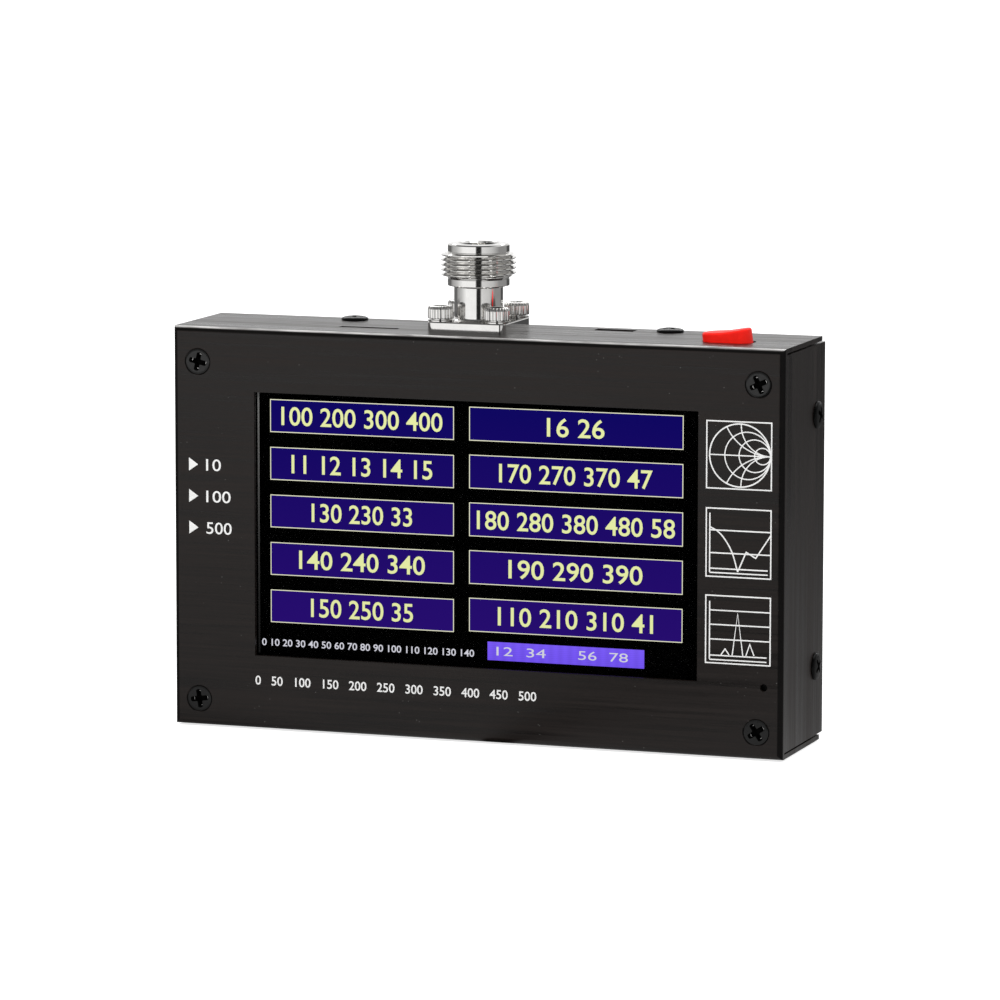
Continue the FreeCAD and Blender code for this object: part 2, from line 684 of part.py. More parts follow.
# Radio board behind the main one, on four spacers
rf_front = rear + " + lift"
rf_rear = rear + " + lift + board_t"
rf_low = "box_h - rf_top - rf_h"
blank = box("rf_blank", "rf_x - rf_w / 2", rf_front, rf_low, "rf_w", "board_t", "rf_h")
holes = []
spacers = []
screws = []
for i, side in enumerate(SIDES):
    for j, z in enumerate(("box_h - rf_top - rf_h + 4", "box_h - rf_top - 4")):
        x = "rf_x + %d * (rf_w / 2 - 4)" % side
        tag = "%d%d" % (i, j)
        holes.append(rod("rf_hole_" + tag, x, rf_front + " - 1", z, "shank + 2 * hole_gap",
                         "board_t + 2", ALONG_Y))
        spacers.append(hexagon("spacer_" + tag, x, rear, z, "post_d", "lift", ALONG_Y))
        head = hexagon("rf_head_" + tag, x, rf_rear, z, "post_d", "2", ALONG_Y)
        shaft = rod("rf_shaft_" + tag, x, rf_rear, z, "shank - 0.4", "board_t", TOWARD_FRONT)
        screws.append(fuse("rf_screw_" + tag, [head, shaft]))
cut("radio_board", blank, holes)
group("board_spacers", spacers)
group("spacer_screws", screws)
can = box("can_block", "rf_x - 26", rf_rear, rf_low + " + 5", "36", "4", "22")
room = box("can_room", "rf_x - 25.6", rf_rear + " - 1", rf_low + " + 5.4", "35.2", "4.6", "21.2")
cut("radio_shield", can, [room])
shell_ = box("usb_block", "plug_x - 3.9", rf_rear, "box_h - wall - 0.3 - 9", "7.8", "3.9", "9")
mouth = box("usb_mouth", "plug_x - 3.5", rf_rear + " + 0.4", "box_h - wall - 0.3 - 8", "7", "3.1", "20")
tongue = box("usb_tongue", "plug_x - 2.4", rf_rear + " + 1.5", "box_h - wall - 0.3 - 8.5", "4.8", "0.9", "7.5")
fuse("usb_socket", [cut("usb_shell", shell_, [mouth]), tongue])

# Link from the jack's cup to the radio board
drop = "box_h - spigot_t - 2.5 - cup_len"
down = rod("link_down", "jack_x", "jack_y", drop + " - 4.45", "link_d", "4.45")
across = rod("link_across", "jack_x", "jack_y", drop + " - 4", "link_d",
             rf_front + " - (jack_y)", ALONG_Y)
fuse("jack_link", [down, across])

# Battery pack stuck to the rear cover, with a two-wire lead to the main board
back_in = "box_d / 2 - wall"
box("battery_tape", "pack_x - pack_w / 2 + 4", back_in + " - tape", "pack_z + 4",
    "pack_w - 8", "tape", "pack_h - 8")
cell_ = box("pack_block", "pack_x - pack_w / 2", back_in + " - tape - pack_t", "pack_z",
            "pack_w", "pack_t", "pack_h")
soft = doc.addObject("Part::Fillet", "battery_pack")
soft.Base = cell_
doc.recompute()
long_ = [i + 1 for i, e in enumerate(cell_.Shape.Edges) if e.BoundBox.ZLength > v["pack_h"] - 0.01]
soft.Edges = [(k, v["pack_t"] * 0.35, v["pack_t"] * 0.35) for k in long_]
box("battery_socket", "pack_x + pack_w / 2 - 15", rear, "pack_z + pack_h - 9", "6", "4.5", "5")
box("battery_plug", "pack_x + pack_w / 2 - 15", rear + " + 4.5", "pack_z + pack_h - 9", "6", "2", "5")
wires = []
for i, side in enumerate(SIDES):
    wires.append(rod("lead_wire_%d" % i, "pack_x + pack_w / 2 - 12 + %d * 1.3" % side,
                     rear + " + 6.5", "pack_z + pack_h - 6.5", "1.2",
                     back_in + " - tape - pack_t - (" + rear + " + 6.5)", ALONG_Y))
group("battery_lead", wires)

NODES = [
    "front_shell", "rear_cover", "face_screws", "cover_screws", "cover_nuts",
    "jack_body", "jack_insulator", "jack_contact", "jack_screws", "jack_nuts",
    "jack_link", "rocker_cap", "switch_body", "switch_pins", "screen_gasket", "touch_panel",
    "screen_tray", "screen_cell", "screen_flex", "flex_socket", "main_board", "board_posts",
    "board_screws", "processor", "card_socket", "charge_led", "radio_board", "board_spacers",
    "spacer_screws", "radio_shield", "usb_socket", "battery_tape", "battery_pack",
    "battery_socket", "battery_plug", "battery_lead",
]

doc.recompute()
for obj in doc.Objects:
    if "Invalid" in obj.State or "Error" in obj.State:
        raise RuntimeError("failed: " + obj.Name)
os.makedirs("parts", exist_ok=True)
for name in NODES:
    obj = doc.getObject(name)
    obj.Label = name
    if obj.Shape.isNull() or not obj.Shape.isValid() or not obj.Shape.Solids:
        raise RuntimeError("no sound solid: " + name)
for name in NODES:
    doc.getObject(name).Shape.exportStep("parts/" + name + ".step")
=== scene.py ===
"""Looks of the antenna analyzer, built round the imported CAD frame.

Lengths are in millimetres until mesh_of(). In the shaders they are in metres, and noise scales are per metre.
"""
import math

import bpy
import bmesh
from mathutils import Matrix, Vector


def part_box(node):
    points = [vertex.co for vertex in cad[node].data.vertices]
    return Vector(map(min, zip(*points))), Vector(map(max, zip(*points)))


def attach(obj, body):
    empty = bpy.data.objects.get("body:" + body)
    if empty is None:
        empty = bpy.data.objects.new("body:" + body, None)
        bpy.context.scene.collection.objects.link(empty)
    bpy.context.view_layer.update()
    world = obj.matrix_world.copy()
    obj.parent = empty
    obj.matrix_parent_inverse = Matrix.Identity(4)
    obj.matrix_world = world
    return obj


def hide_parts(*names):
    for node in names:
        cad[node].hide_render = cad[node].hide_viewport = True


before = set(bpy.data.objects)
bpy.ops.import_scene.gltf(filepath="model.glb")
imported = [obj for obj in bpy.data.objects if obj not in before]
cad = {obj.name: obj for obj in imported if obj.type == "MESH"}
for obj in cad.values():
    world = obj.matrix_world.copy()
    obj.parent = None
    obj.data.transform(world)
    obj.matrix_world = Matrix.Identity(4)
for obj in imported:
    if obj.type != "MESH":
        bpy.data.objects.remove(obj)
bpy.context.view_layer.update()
MM = 0.001
TAU = 2 * math.pi
QUARTER = math.pi / 2

# Materials

SPAN = (0.3, 0.7)       # most values of a noise lie between these


class Shade:
    """A node tree that is filled by short calls. Inputs take a socket to link or a plain value."""

    def __init__(self, name):
        self.material = bpy.data.materials.new(name)
        self.material.use_nodes = True
        self.tree = self.material.node_tree
        self.tree.nodes.clear()

    def add(self, kind, inputs=None, **props):
        node = self.tree.nodes.new("ShaderNode" + kind)
        for key, value in props.items():
            setattr(node, key, value)
        for key, value in (inputs or {}).items():
            if isinstance(value, bpy.types.NodeSocket):
                self.tree.links.new(value, node.inputs[key])
            else:
                node.inputs[key].default_value = value
        return node

    def math(self, operation, a, b=0.0, clamp=False):
        return self.add("Math", {0: a, 1: b}, operation=operation, use_clamp=clamp).outputs[0]

    def product(self, first, *others):
        for other in others:
            first = self.math("MULTIPLY", first, other)
        return first

    def place(self):
        return self.add("TexCoord").outputs["Object"]

    def axes(self, vector):
        return self.add("SeparateXYZ", {0: vector}).outputs

    def scaled(self, vector, scale):
        return self.add("VectorMath", {0: vector, 1: scale}, operation="MULTIPLY").outputs[0]

    def noise(self, vector, scale, detail=3.0, rough=0.5):
        return self.add("TexNoise", {"Vector": vector, "Scale": scale, "Detail": detail,
                                     "Roughness": rough}).outputs["Fac"]

    def ramp(self, value, low, high, start=0.0, end=1.0):
        return self.add("MapRange", {"Value": value, "From Min": low, "From Max": high,
                                     "To Min": start, "To Max": end}).outputs["Result"]

    def band(self, value, rise, fall):
        """1 between the limits of rise and those of fall, and 0 before and after them."""
        return self.product(self.ramp(value, *rise), self.ramp(value, *fall, 1.0, 0.0))

    def blend(self, share, first, second):
        return self.add("Mix", {"Factor": share, 6: first, 7: second}, data_type="RGBA").outputs[2]

    def pick(self, mask, first, second):
        """The vector first where mask is 0, and second where it is 1."""
        return self.add("Mix", {"Factor": mask, 4: first, 5: second}, data_type="VECTOR").outputs[1]

    def bump(self, height, strength, distance):
        return self.add("Bump", {"Height": height, "Strength": strength, "Distance": distance}).outputs[0]

    def principled(self, colour, rough, **more):
        return self.add("BsdfPrincipled", {"Base Color": colour, "Roughness": rough, **more}).outputs[0]

    def light(self, kind, colour, strength=1.0):
        return self.add(kind, {"Color": colour, "Strength": strength}).outputs[0]

    def mixed(self, share, first, second):
        return self.add("MixShader", {0: share, 1: first, 2: second}).outputs[0]

    def rays(self):
        """Is Camera Ray, and 1 for a ray that left a mirror or passed through glass."""
        path = self.add("LightPath").outputs
        return path["Is Camera Ray"], self.math("MAXIMUM", path["Is Glossy Ray"], path["Is Transmission Ray"])

    def surface(self, shader):
        self.add("OutputMaterial", {"Surface": shader})
        return self.material


def linear(r, g, b):
    """An sRGB colour of 0 to 255 as linear values."""
    out = []
    for v in (r, g, b):
        v /= 255
        out.append(v / 12.92 if v <= 0.04045 else ((v + 0.055) / 1.055) ** 2.4)
    return (*out, 1.0)


def grey(level):
    return (level, level, level, 1.0)


def tone(colour, k):
    return (colour[0] * k, colour[1] * k, colour[2] * k, 1.0)


def grained(name, colour, rough, metallic=0.0, grain=900.0, vary=0.12, swing=0.06, bump=0.15,
            depth=0.02 * MM, ior=1.5):
    """A plain stuff with cloudy colour, uneven gloss and a fine grain."""
    s = Shade(name)
    where = s.place()
    cloud = s.noise(where, grain * 0.18, 4.0, 0.6)
    fine = s.noise(where, grain, 3.0, 0.55)
    base = s.blend(s.ramp(cloud, *SPAN), tone(colour, 1 - vary), tone(colour, 1 + vary))
    return s.surface(s.principled(base, s.ramp(fine, *SPAN, rough - swing, rough + swing),
                                  Metallic=metallic, IOR=ior, Normal=s.bump(fine, bump, depth)))


def brushed_sheet(name, colour, rough, ior):
    """Brushed and black-anodised sheet: lines run along X on the face, top, base and back, and up the walls.

    The top's front edge carries a painted highlight along its bend. The bend under it and the upright front
    edges carry painted shade: they are coloured near black where they turn away from the light.
    """
    turned, front, bend_front, top_edge = 0.7, -10.5 * MM, -12.5 * MM, 80 * MM
    s = Shade(name)
    coords = s.add("TexCoord")
    where, normal = coords.outputs["Object"], coords.outputs["Normal"]
    facing, spot = s.axes(normal), s.axes(where)
    across, steep = s.math("ABSOLUTE", facing[0]), s.math("ABSOLUTE", facing[2])
    side, level = s.math("GREATER_THAN", across, turned), s.math("GREATER_THAN", steep, turned)

    lines = s.pick(level, s.scaled(where, (26, 1700, 1700)), s.scaled(where, (26, 900, 900)))
    lines = s.pick(side, lines, s.scaled(where, (520, 520, 14)))
    fine = s.noise(lines, 1.0, 5.0, 0.68)
    wide = s.noise(s.scaled(lines, (0.35, 0.35, 0.35)), 1.0)
    scratch = s.math("ADD", s.product(fine, 0.65), s.product(wide, 0.35))
    patches = s.noise(where, 45.0, 3.0, 0.55)
    shown = s.blend(s.ramp(scratch, 0.42, 0.60), tone(colour, 0.5), tone(colour, 1.7))
    shown = s.blend(s.ramp(patches, 0.35, 0.7, 0.0, 0.35), shown, tone(colour, 1.4))

    cells = s.add("TexVoronoi", {"Vector": where, "Scale": 900.0}, feature="F1").outputs["Distance"]
    dust = s.product(s.math("LESS_THAN", cells, 0.10),
                     s.math("GREATER_THAN", s.noise(where, 300.0, 2.0), 0.63))
    shown = s.blend(s.product(dust, 0.5), shown, (0.16, 0.155, 0.15, 1.0))

    # Painted highlight: pale grey painted along the top's front bend, with uneven strength.
    bend_glint_strength = s.ramp(s.noise(s.scaled(where, (90, 700, 700)), 1.0), 0.36, 0.62, 0.25, 0.95)
    bend_highlight = s.product(s.band(facing[2], (0.70, 0.86), (0.985, 0.999)), bend_glint_strength,
                       s.math("LESS_THAN", spot[1], bend_front), s.math("GREATER_THAN", spot[2], top_edge))
    shown = s.blend(bend_highlight, shown, (0.62, 0.61, 0.60, 1.0))
    sheet = s.principled(shown, s.ramp(scratch, 0.38, 0.62, rough - 0.09, rough + 0.12), IOR=ior,
                         Normal=s.bump(scratch, 0.6, 0.05 * MM))

    # Painted shade: near black on the lower bend and the upright front edges, which face away from the light.
    under = s.band(facing[2], (0.18, 0.30), (0.60, 0.70))
    upright = s.product(s.band(across, (0.12, 0.30), (0.94, 0.99)), s.math("LESS_THAN", steep, 0.2))
    black = s.product(s.math("MAXIMUM", under, upright), s.math("LESS_THAN", spot[1], front))
    sheet_shade_coat = s.principled(s.blend(patches, grey(0.002), grey(0.004)), 0.6, IOR=1.12)
    return s.surface(s.mixed(s.product(black, 0.85), sheet, sheet_shade_coat))


def turned_metal(name, colour, rough):
    """Plated, turned metal: faint rings round the upright axis and a soft wear pattern."""
    s = Shade(name)
    where = s.place()
    rings = s.noise(s.scaled(where, (40, 40, 5200)), 1.0, 3.0, 0.6)
    cloud = s.noise(where, 260.0, 4.0, 0.6)
    base = s.blend(s.ramp(cloud, *SPAN), tone(colour, 0.93), tone(colour, 1.03))
    return s.surface(s.principled(base, s.ramp(rings, *SPAN, rough - 0.03, rough + 0.05), Metallic=1.0,
                                  Normal=s.bump(rings, 0.05, 0.01 * MM)))


DOT = 0.4 * MM          # pitch of the display's dot rows


def glow(name, low, high, bottom, top, contrast, column=DOT):
    """A lit area of the display: its colour drifts from bottom to top and has the panel's faint dot rows."""
    s = Shade(name)
    x, _, z = s.axes(s.place())
    colour = s.blend(s.ramp(z, bottom * MM, top * MM), low, high)
    rows, columns = (s.math("SINE", s.product(way, TAU / pitch)) for way, pitch in ((z, DOT), (x, column)))
    level = s.ramp(s.math("ADD", rows, columns), -2.0, 2.0, 1.0 - contrast, 1.0 + contrast)
    cell = s.add("VectorMath", {0: colour, "Scale": level}, operation="SCALE").outputs[0]
    return s.surface(s.light("Emission", cell))


def film():
    """The touch film: clear where it is faced, with a soft reflection at a slant."""
    index, faced = 1.42, 0.036
    s = Shade("touch_film_clear")
    haze = s.noise(s.place(), 120.0, 2.0)
    edge = s.add("Fresnel", {"IOR": index}).outputs[0]
    gloss = s.add("BsdfGlossy", {"Color": (0.30, 0.30, 0.31, 1.0),
                                 "Roughness": s.ramp(haze, *SPAN, 0.06, 0.07)})
    clear = s.add("BsdfTransparent", {"Color": grey(0.97)})
    slant = s.math("SUBTRACT", edge, faced, clamp=True)
    return s.surface(s.mixed(slant, clear.outputs[0], gloss.outputs[0]))


def circuit(name, colour):
    """Solder-masked board: tracks as a faint relief under the mask."""
    s = Shade(name)
    tracks = s.add("TexBrick", {"Vector": s.place(), "Scale": 260.0, "Mortar Size": 0.03,
                                "Color1": tone(colour, 0.9), "Color2": tone(colour, 1.05),
                                "Mortar": tone(colour, 1.9)})
    return s.surface(s.principled(tracks.outputs["Color"], 0.32, IOR=1.5,
                                  Normal=s.bump(tracks.outputs["Fac"], 0.3, 0.03 * MM)))


def ink():
    """Screen-printed ink, slightly thin over the brush lines."""
    s = Shade("print_ink")
    thin = s.noise(s.scaled(s.place(), (120, 2600, 2600)), 1.0)
    colour = s.blend(s.ramp(thin, 0.25, 0.6), (0.76, 0.76, 0.75, 1), (0.90, 0.90, 0.89, 1))
    return s.surface(s.principled(colour, s.ramp(thin, *SPAN, 0.5, 0.6)))


def painted_edge_glint():
    """A painted highlight along the film's edge: pale at the top, darkening towards its lower end."""
    s = Shade("film_edge_painted_glint")
    fade = s.math("POWER", s.ramp(s.axes(s.place())[2], 20 * MM, 72 * MM), 2.0)
    colour = s.blend(fade, grey(0.012), (0.30, 0.30, 0.29, 1))
    return s.surface(s.principled(colour, s.ramp(s.noise(s.place(), 900.0), *SPAN, 0.4, 0.6)))


SHEET = (0.0086, 0.0060, 0.0051, 1.0)
looks = {
    "black_anodised": brushed_sheet("black_anodised_brushed", SHEET, 0.33, 1.44),
    "black_screw": grained("black_screw_oxide", (0.0026, 0.0025, 0.0025, 1), 0.2, grain=2500, vary=0.2,
                           swing=0.05, bump=0.2),
    "nickel": turned_metal("nickel_plate", (0.88, 0.87, 0.85, 1), 0.07),
    "ptfe": grained("ptfe_white", (0.78, 0.77, 0.74, 1), 0.5, grain=1400, vary=0.04),
    "gold": turned_metal("gold_plate", (0.85, 0.62, 0.26, 1), 0.2),
    "steel": grained("bright_steel", (0.56, 0.56, 0.57, 1), 0.28, metallic=1.0, grain=2200, vary=0.08,
                     bump=0.1),
    "red_cap": grained("red_cap_moulded", (0.95, 0.010, 0.003, 1), 0.5, grain=5200, vary=0.05, swing=0.05,
                       bump=0.1, ior=1.33),
    "black_moulding": grained("black_moulded", grey(0.014), 0.48, grain=3600, bump=0.35),
    "gasket_foam": grained("black_foam", grey(0.010), 0.85, grain=4200, vary=0.3, bump=0.6, depth=0.06 * MM),
    "touch_film": film(),
    "screen": grained("display_black", (0.0022, 0.0022, 0.0021, 1), 0.55, grain=2600, vary=0.1, bump=0.02,
                      ior=1.1),
    "board": circuit("green_board", (0.008, 0.06, 0.022, 1)),
    "chip": grained("chip_epoxy", (0.016, 0.016, 0.017, 1), 0.55, grain=5200, bump=0.3),
    "amber_film": grained("amber_flex", (0.42, 0.19, 0.03, 1), 0.3, grain=1800, vary=0.1),
    "led": grained("led_smoked", (0.0022, 0.0022, 0.0024, 1), 0.4, grain=2000, vary=0.15, ior=1.2),
    "pack_wrap": grained("pack_foil", (0.42, 0.43, 0.45, 1), 0.38, metallic=0.6, grain=800, vary=0.07,
                         swing=0.05, bump=0.25, depth=0.05 * MM),
    "tape": grained("white_tape", (0.55, 0.54, 0.5, 1), 0.7, grain=2400, vary=0.06, bump=0.35),
    "white_plug": grained("ivory_nylon", (0.62, 0.6, 0.53, 1), 0.42, grain=2600, vary=0.05),
    "wire": grained("wire_sleeve", (0.38, 0.03, 0.02, 1), 0.4, grain=3200, vary=0.1),
}
for node in cad.values():
    kind = node.data.materials[0].name.split(".")[0]
    node.data.materials.clear()
    node.data.materials.append(looks[kind])

# Mesh helpers


def mesh_of(name, bm, materials, body="housing", replaces=(), sharp=32.0, smooth=True):
    """Turns a bmesh in millimetres into a finished piece in metres."""
    bmesh.ops.remove_doubles(bm, verts=bm.verts, dist=1e-5)
    bmesh.ops.recalc_face_normals(bm, faces=bm.faces)
    for face in bm.faces:
        face.smooth = smooth
    for edge in bm.edges:
        if len(edge.link_faces) == 2 and edge.calc_face_angle(0.0) > math.radians(sharp):
            edge.smooth = False
    mesh = bpy.data.meshes.new(name)
    bm.transform(Matrix.Scale(MM, 4))
    bm.to_mesh(mesh)
    bm.free()
    for material in materials:
        mesh.materials.append(material)
    piece = bpy.data.objects.new(name, mesh)
    bpy.context.scene.collection.objects.link(piece)
    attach(piece, body)
    if replaces:
        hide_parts(*replaces)


def ring(bm, radius, height, count, shape=None):
    """A level ring of points; shape(angle) scales its radius."""
    points = []
    for i in range(count):
        a = TAU * i / count
        r = radius * (shape(a) if shape else 1.0)
        points.append(bm.verts.new((r * math.cos(a), r * math.sin(a), height)))
    return points


def rings_of(bm, profile, count, shape=None):
    return [ring(bm, r, h, count, shape) for r, h in profile]


def skin(bm, rings, ends=(True, True)):
    """Faces between rings of equal length, and a cap on the first and the last ring where ends says so."""
    for low, high in zip(rings, rings[1:]):
        n = len(low)
        for i in range(n):
            j = (i + 1) % n
            bm.faces.new((low[i], low[j], high[j], high[i]))
    if ends[0]:
        bm.faces.new(list(reversed(rings[0])))
    if ends[1]:
        bm.faces.new(rings[-1])


def moved(bm, start, matrix):
    """Moves everything made since the vertex count start."""
    bm.verts.ensure_lookup_table()
    bmesh.ops.transform(bm, matrix=matrix, verts=bm.verts[start:])


TO_FRONT = Matrix.Rotation(QUARTER, 4, "X")
TO_RIGHT = Matrix.Rotation(QUARTER, 4, "Y")
TO_LEFT = Matrix.Rotation(-QUARTER, 4, "Y")

# Screws

HEAD_COUNT = 64


def cross_outline(arm, width, turn, steps=4):
    """The outline of a cross recess: four arms with rounded ends and softened inner corners."""
    half = width / 2
    points = []
    for k in range(4):
        a = turn + k * QUARTER
        c, s = math.cos(a), math.sin(a)
        local = [(half * 1.25, -half)]
        for i in range(steps + 1):
            b = -QUARTER + math.pi * i / steps
            local.append((arm - half * 0.55 + half * 0.55 * math.cos(b), half * math.sin(b)))
        local.append((half * 1.25, half))
        points += [(x * c - y * s, x * s + y * c) for x, y in local]
    return points


def recessed_top(bm, rim, height, arm, width, depth, turn, crown):
    """Fills a head's last ring with a top that has a tapered cross recess. crown(x, y) is its height."""
    top = [bm.verts.new((x, y, crown(x, y))) for x, y in cross_outline(arm, width, turn)]
    low = [bm.verts.new((x, y, height - depth)) for x, y in cross_outline(arm * 0.62, width * 0.72, turn)]
    n = len(top)
    edges = [bm.edges.new((top[i], top[(i + 1) % n])) for i in range(n)]
    edges += [bm.edges.get((rim[i], rim[(i + 1) % len(rim)])) for i in range(len(rim))]
    bmesh.ops.triangle_fill(bm, use_beauty=True, use_dissolve=False, edges=edges)
    # The recess walls and floor take material slot 1, which carries the painted shade of the recess.
    for i in range(n):
        j = (i + 1) % n
        bm.faces.new((top[i], top[j], low[j], low[i])).material_index = 1
    bm.faces.new(low).material_index = 1


def shank_end(radius, length):
    """The first two points of a screw's profile: its end with a small chamfer."""
    return [(radius * 0.85, -length), (radius, -length + 0.3)]


def flat_head(bm, turn, place):
    """A countersunk screw, its head's top at the matrix place and facing along its Z."""
    radius, shank, length, sink, recess = 2.74, 1.45, 9.0, 1.7, 1.7
    start = len(bm.verts)
    rings = rings_of(bm, shank_end(shank, length) + [
        (shank, -sink), (radius * 0.97, -0.22), (radius, -0.18), (radius - 0.07, -0.07), (radius - 0.30, 0.0),
        (radius * 0.82, 0.0)], HEAD_COUNT)
    skin(bm, rings, (True, False))
    recessed_top(bm, rings[-1], 0.0, radius * 0.74, radius * 0.40, recess, math.radians(turn),
                 lambda x, y: 0.0)
    moved(bm, start, place)


def low_dome(bm, turn, place):
    """A low round head on its shank, seated at the matrix place and facing along its Z."""
    radius, rise, shank, length, steps = 2.9, 0.9, 1.45, 4.4, 8
    start = len(bm.verts)

    def height(r):
        return rise * (0.36 + 0.64 * math.sqrt(max(0.0, 1 - (r / radius) ** 2.2)))

    profile = shank_end(shank, length) + [
        (shank, 0.0), (radius * 0.96, 0.0), (radius, 0.06), (radius, rise * 0.30)]
    for i in range(1, steps):
        r = radius * (0.985 - 0.30 * (i / steps) ** 1.2)
        profile.append((r, height(r)))
    rings = rings_of(bm, profile, HEAD_COUNT)
    skin(bm, rings, (True, False))
    recessed_top(bm, rings[-1], rise, radius * 0.62, radius * 0.30, rise * 1.5, math.radians(turn),
                 lambda x, y: height(math.hypot(x, y)))
    moved(bm, start, place)


FACE_X, FACE_LOW, FACE_HIGH, FACE_Y = 62.35, 5.7, 78.5, -14.95
COVER_X, COVER_Y, COVER_MID, COVER_UP = 35.6, 9.2, 43.0, 26.75
WALL_X, TOP_Z = 68.0, 86.0
# Painted shade: a darker black with little reflection for the cross recesses, for the shade inside them.
recess_painted_shade = grained("recess_painted_shade", (0.0022, 0.0021, 0.0021, 1), 0.7, grain=3000, vary=0.2, ior=1.15)
dome_black = grained("dome_black_oxide", grey(0.002), 0.24, grain=2500, vary=0.2, swing=0.05, bump=0.2,
                     ior=1.22)


def panel_screws():
    bm = bmesh.new()
    for x, z, turn in ((-FACE_X, FACE_HIGH, -12), (FACE_X, FACE_HIGH, 24), (-FACE_X, FACE_LOW, 8),
                       (FACE_X, FACE_LOW, 33)):
        flat_head(bm, turn, Matrix.Translation((x, FACE_Y, z)) @ TO_FRONT)
    mesh_of("panel_screws", bm, [looks["black_screw"], recess_painted_shade],
            replaces=("face_screws",), sharp=28)


def rim_screws():
    bm = bmesh.new()
    for i, (side, out) in enumerate(((-1, TO_LEFT), (1, TO_RIGHT))):
        low_dome(bm, 15 + 30 * i, Matrix.Translation((side * COVER_X, COVER_Y, TOP_Z)))
        for j, end in enumerate((-1, 1)):
            low_dome(bm, 20 + 25 * j + 17 * i,
                     Matrix.Translation((side * WALL_X, COVER_Y, COVER_MID + end * COVER_UP)) @ out)
    mesh_of("rim_screws", bm, [dome_black, recess_painted_shade], replaces=("cover_screws",), sharp=28)


panel_screws()
rim_screws()

# Coaxial jack

JACK = Vector((-4.3, 0.5, TOP_Z))
FLANGE_HALF, FLANGE_CORNER, FLANGE_T = 8.75, 1.5, 2.2
NECK_R, BARREL_R, BORE_R, BARREL_LOW, BARREL_TOP = 5.2, 6.575, 4.1, 9.4, 18.4
PITCH, ROOT, CREST = 25.4 / 24, 7.06, 7.9375
THREAD_LOW, THREAD_HIGH, THREAD_ROWS, RUNOUT = 11.4, 16.4, 52, 0.22
BARREL_COUNT = 192


def rounded_square(bm, inset, height, steps=8):
    """The flange's outline, pulled in by inset."""
    half, corner = FLANGE_HALF - inset, FLANGE_CORNER - inset
    points = []
    for k in range(4):
        cx = (half - corner) * (1 if k in (0, 3) else -1)
        cy = (half - corner) * (1 if k in (0, 1) else -1)
        for i in range(steps + 1):
            a = QUARTER * (k + i / steps)
            points.append(bm.verts.new((cx + corner * math.cos(a), cy + corner * math.sin(a), height)))
    return points


def thread_radius(a, z):
    """The radius of a thread of 24 turns to the inch at angle a and height z, run out at both ends."""
    u = ((z / PITCH) - a / TAU) % 1.0
    tooth = min(1.0, max(0.0, 1.32 - abs(u - 0.5) * 3.0))
    runout = min(1.0, max(0.0, (z - THREAD_LOW) / RUNOUT), max(0.0, (THREAD_HIGH - z) / RUNOUT))
    return ROOT + (CREST - ROOT) * tooth * runout


def jack_shell():
    edge, brow = 0.25, 0.07
    bm = bmesh.new()
    skin(bm, [rounded_square(bm, inset, z) for inset, z in (
        (0.2, 0.0), (0.0, 0.0), (0.0, FLANGE_T - edge), (brow, FLANGE_T - brow), (edge, FLANGE_T))])
    skin(bm, rings_of(bm, [(NECK_R, -1.4), (NECK_R, 0.0)], 96))
    rings = rings_of(bm, [
        (NECK_R + 0.35, FLANGE_T - 0.01), (NECK_R + 0.12, 2.32), (NECK_R, 2.6), (NECK_R, 9.1),
        (NECK_R + 0.12, 9.32), (BARREL_R - 0.225, BARREL_LOW), (BARREL_R - 0.075, BARREL_LOW + 0.04),
        (BARREL_R, BARREL_LOW + 0.15), (BARREL_R, 10.88), (BARREL_R - 0.075, 10.96), (ROOT - 0.5, 11.2),
        (ROOT - 0.42, 11.36)], BARREL_COUNT)
    for i in range(THREAD_ROWS + 1):
        z = THREAD_LOW + (THREAD_HIGH - THREAD_LOW) * i / THREAD_ROWS
        rings.append(ring(bm, 1.0, z, BARREL_COUNT, lambda a: thread_radius(a, z)))
    rings += rings_of(bm, [
        (ROOT - 0.5, 16.46), (ROOT - 0.5, 16.56), (BARREL_R - 0.075, 16.62), (BARREL_R, 16.70),
        (BARREL_R, BARREL_TOP - 0.34), (BARREL_R - 0.155, BARREL_TOP - 0.10), (BARREL_R - 0.375, BARREL_TOP),
        (BORE_R + 0.40, BARREL_TOP), (BORE_R + 0.32, BARREL_TOP - 0.03), (BORE_R, BARREL_TOP - 0.40),
        (BORE_R, BARREL_LOW + 0.05), (BORE_R - 0.2, BARREL_LOW)], BARREL_COUNT)
    skin(bm, rings)
    bmesh.ops.translate(bm, verts=bm.verts, vec=JACK)
    mesh_of("jack_shell", bm, [looks["nickel"]], replaces=("jack_body",), sharp=14)


def slotted(a):
    """Four narrow slots cut down the contact's tip."""
    return 0.93 if abs(((a / QUARTER) % 1.0) - 0.5) < 0.035 else 1.0


def jack_tip():
    stem, outer, hole, end, count = 1.0, 1.52, 0.825, 16.8, 96
    bm = bmesh.new()
    rings = rings_of(bm, [(stem, -6.5), (stem, 9.3), (outer - 0.02, 9.4), (outer, 9.5), (outer, 12.4)], count)
    rings += rings_of(bm, [(outer, 12.45), (outer, end - 0.25), (outer - 0.12, end - 0.04)], count, slotted)
    rings += rings_of(bm, [(outer - 0.24, end), (hole + 0.035, end), (hole, end - 0.08), (hole, 11.0),
                           (0.5, 10.8)], count)
    skin(bm, rings)
    bmesh.ops.translate(bm, verts=bm.verts, vec=JACK)
    mesh_of("jack_tip", bm, [looks["nickel"]], replaces=("jack_contact",), sharp=35)


BOLT, RIBS = 6.35, 20


def knurl(a):
    return 1.0 - 0.065 * (0.5 + 0.5 * math.cos(RIBS * a)) ** 3.0


def hex_round(a):
    """A hexagon's radius against its corner circle."""
    b = (a % (math.pi / 3)) - math.pi / 6
    return math.cos(math.pi / 6) / math.cos(b)


